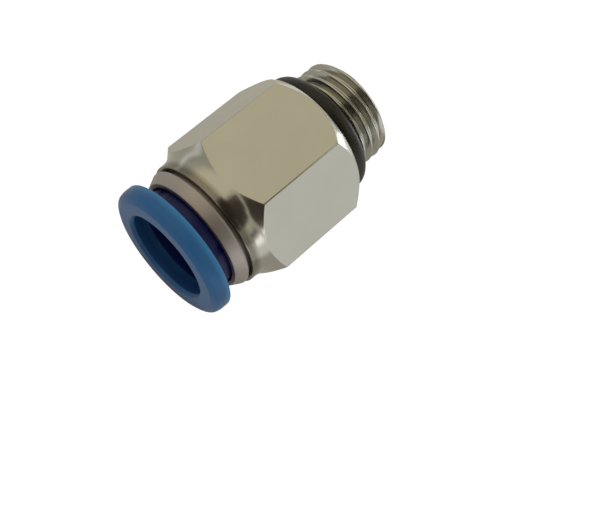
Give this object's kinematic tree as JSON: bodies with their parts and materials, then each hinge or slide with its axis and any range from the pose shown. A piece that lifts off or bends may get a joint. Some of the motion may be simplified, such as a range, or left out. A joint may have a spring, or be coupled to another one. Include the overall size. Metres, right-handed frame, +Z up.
{
  "type": "push-to-connect fitting",
  "caption": "Straight push-to-connect air fitting: blue release ring, nickel-plated hexagon body, captive rubber ring and short parallel male thread.",
  "frame": {"origin": "on the surface that the fitting lies on, under the middle of its length and its axis", "axes": "+X along the axis from the tube's mouth to the thread, +Z up from the hexagon flat it lies on, +Y to its left"},
  "size_m": [0.0222, 0.015, 0.013],
  "materials": {
    "nickel_plate": "bright nickel plate over machined brass",
    "nickel_ring": "satin nickel plate over brass",
    "blue_plastic": "moulded acetal, semi-matt",
    "stainless": "stamped stainless spring strip",
    "black_rubber": "satin nitrile rubber",
    "seal_rubber": "satin nitrile rubber",
    "pale_plastic": "moulded acetal"
  },
  "bodies": {
    "fitting_body": {"body": "nickel_plate", "thread_seal_ring": "black_rubber", "guide_ring": "nickel_ring", "spacer_ring": "pale_plastic", "tube_seal": "seal_rubber"},
    "claw_cage": {"claw_ring": "stainless"},
    "release": {"release_ring": "blue_plastic"},
    "finger_01": {"claw_finger_01": "stainless"},
    "finger_02": {"claw_finger_02": "stainless"},
    "finger_03": {"claw_finger_03": "stainless"},
    "finger_04": {"claw_finger_04": "stainless"},
    "finger_05": {"claw_finger_05": "stainless"},
    "finger_06": {"claw_finger_06": "stainless"},
    "finger_07": {"claw_finger_07": "stainless"},
    "finger_08": {"claw_finger_08": "stainless"},
    "finger_09": {"claw_finger_09": "stainless"},
    "finger_10": {"claw_finger_10": "stainless"},
    "finger_11": {"claw_finger_11": "stainless"},
    "finger_12": {"claw_finger_12": "stainless"}
  },
  "joints": [
    {"name": "cage_spin", "type": "hinge", "parent": "fitting_body", "child": "claw_cage", "pos_m": [-0.00305, 0, 0.0065], "axis": [1, 0, 0], "continuous": true},
    {"name": "release_slide", "type": "slide", "parent": "claw_cage", "child": "release", "axis": [1, 0, 0], "range_m": [0, 0.0013], "stiffness_N_per_m": 400},
    {"name": "finger_01_flex", "type": "hinge", "parent": "claw_cage", "child": "finger_01", "pos_m": [-0.00283, 0, 0.0114], "axis": [0, -1, 0], "range_deg": [0, 18]},
    {"name": "finger_02_flex", "type": "hinge", "parent": "claw_cage", "child": "finger_02", "pos_m": [-0.00283, 0.00245, 0.01074], "axis": [0, -0.866, 0.5], "range_deg": [0, 18]},
    {"name": "finger_03_flex", "type": "hinge", "parent": "claw_cage", "child": "finger_03", "pos_m": [-0.00283, 0.00424, 0.00895], "axis": [0, -0.5, 0.866], "range_deg": [0, 18]},
    {"name": "finger_04_flex", "type": "hinge", "parent": "claw_cage", "child": "finger_04", "pos_m": [-0.00283, 0.0049, 0.0065], "axis": [0, 0, 1], "range_deg": [0, 18]},
    {"name": "finger_05_flex", "type": "hinge", "parent": "claw_cage", "child": "finger_05", "pos_m": [-0.00283, 0.00424, 0.00405], "axis": [0, 0.5, 0.866], "range_deg": [0, 18]},
    {"name": "finger_06_flex", "type": "hinge", "parent": "claw_cage", "child": "finger_06", "pos_m": [-0.00283, 0.00245, 0.00226], "axis": [0, 0.866, 0.5], "range_deg": [0, 18]},
    {"name": "finger_07_flex", "type": "hinge", "parent": "claw_cage", "child": "finger_07", "pos_m": [-0.00283, 0, 0.0016], "axis": [0, 1, 0], "range_deg": [0, 18]},
    {"name": "finger_08_flex", "type": "hinge", "parent": "claw_cage", "child": "finger_08", "pos_m": [-0.00283, -0.00245, 0.00226], "axis": [0, 0.866, -0.5], "range_deg": [0, 18]},
    {"name": "finger_09_flex", "type": "hinge", "parent": "claw_cage", "child": "finger_09", "pos_m": [-0.00283, -0.00424, 0.00405], "axis": [0, 0.5, -0.866], "range_deg": [0, 18]},
    {"name": "finger_10_flex", "type": "hinge", "parent": "claw_cage", "child": "finger_10", "pos_m": [-0.00283, -0.0049, 0.0065], "axis": [0, 0, -1], "range_deg": [0, 18]},
    {"name": "finger_11_flex", "type": "hinge", "parent": "claw_cage", "child": "finger_11", "pos_m": [-0.00283, -0.00424, 0.00895], "axis": [0, -0.5, -0.866], "range_deg": [0, 18]},
    {"name": "finger_12_flex", "type": "hinge", "parent": "claw_cage", "child": "finger_12", "pos_m": [-0.00283, -0.00245, 0.01074], "axis": [0, -0.866, -0.5], "range_deg": [0, 18]}
  ],
  "couplings": [
    {"joint": "finger_01_flex", "follows": "release_slide", "rad_per_m": 241.61},
    {"joint": "finger_02_flex", "follows": "release_slide", "rad_per_m": 241.61},
    {"joint": "finger_03_flex", "follows": "release_slide", "rad_per_m": 241.61},
    {"joint": "finger_04_flex", "follows": "release_slide", "rad_per_m": 241.61},
    {"joint": "finger_05_flex", "follows": "release_slide", "rad_per_m": 241.61},
    {"joint": "finger_06_flex", "follows": "release_slide", "rad_per_m": 241.61},
    {"joint": "finger_07_flex", "follows": "release_slide", "rad_per_m": 241.61},
    {"joint": "finger_08_flex", "follows": "release_slide", "rad_per_m": 241.61},
    {"joint": "finger_09_flex", "follows": "release_slide", "rad_per_m": 241.61},
    {"joint": "finger_10_flex", "follows": "release_slide", "rad_per_m": 241.61},
    {"joint": "finger_11_flex", "follows": "release_slide", "rad_per_m": 241.61},
    {"joint": "finger_12_flex", "follows": "release_slide", "rad_per_m": 241.61}
  ]
}
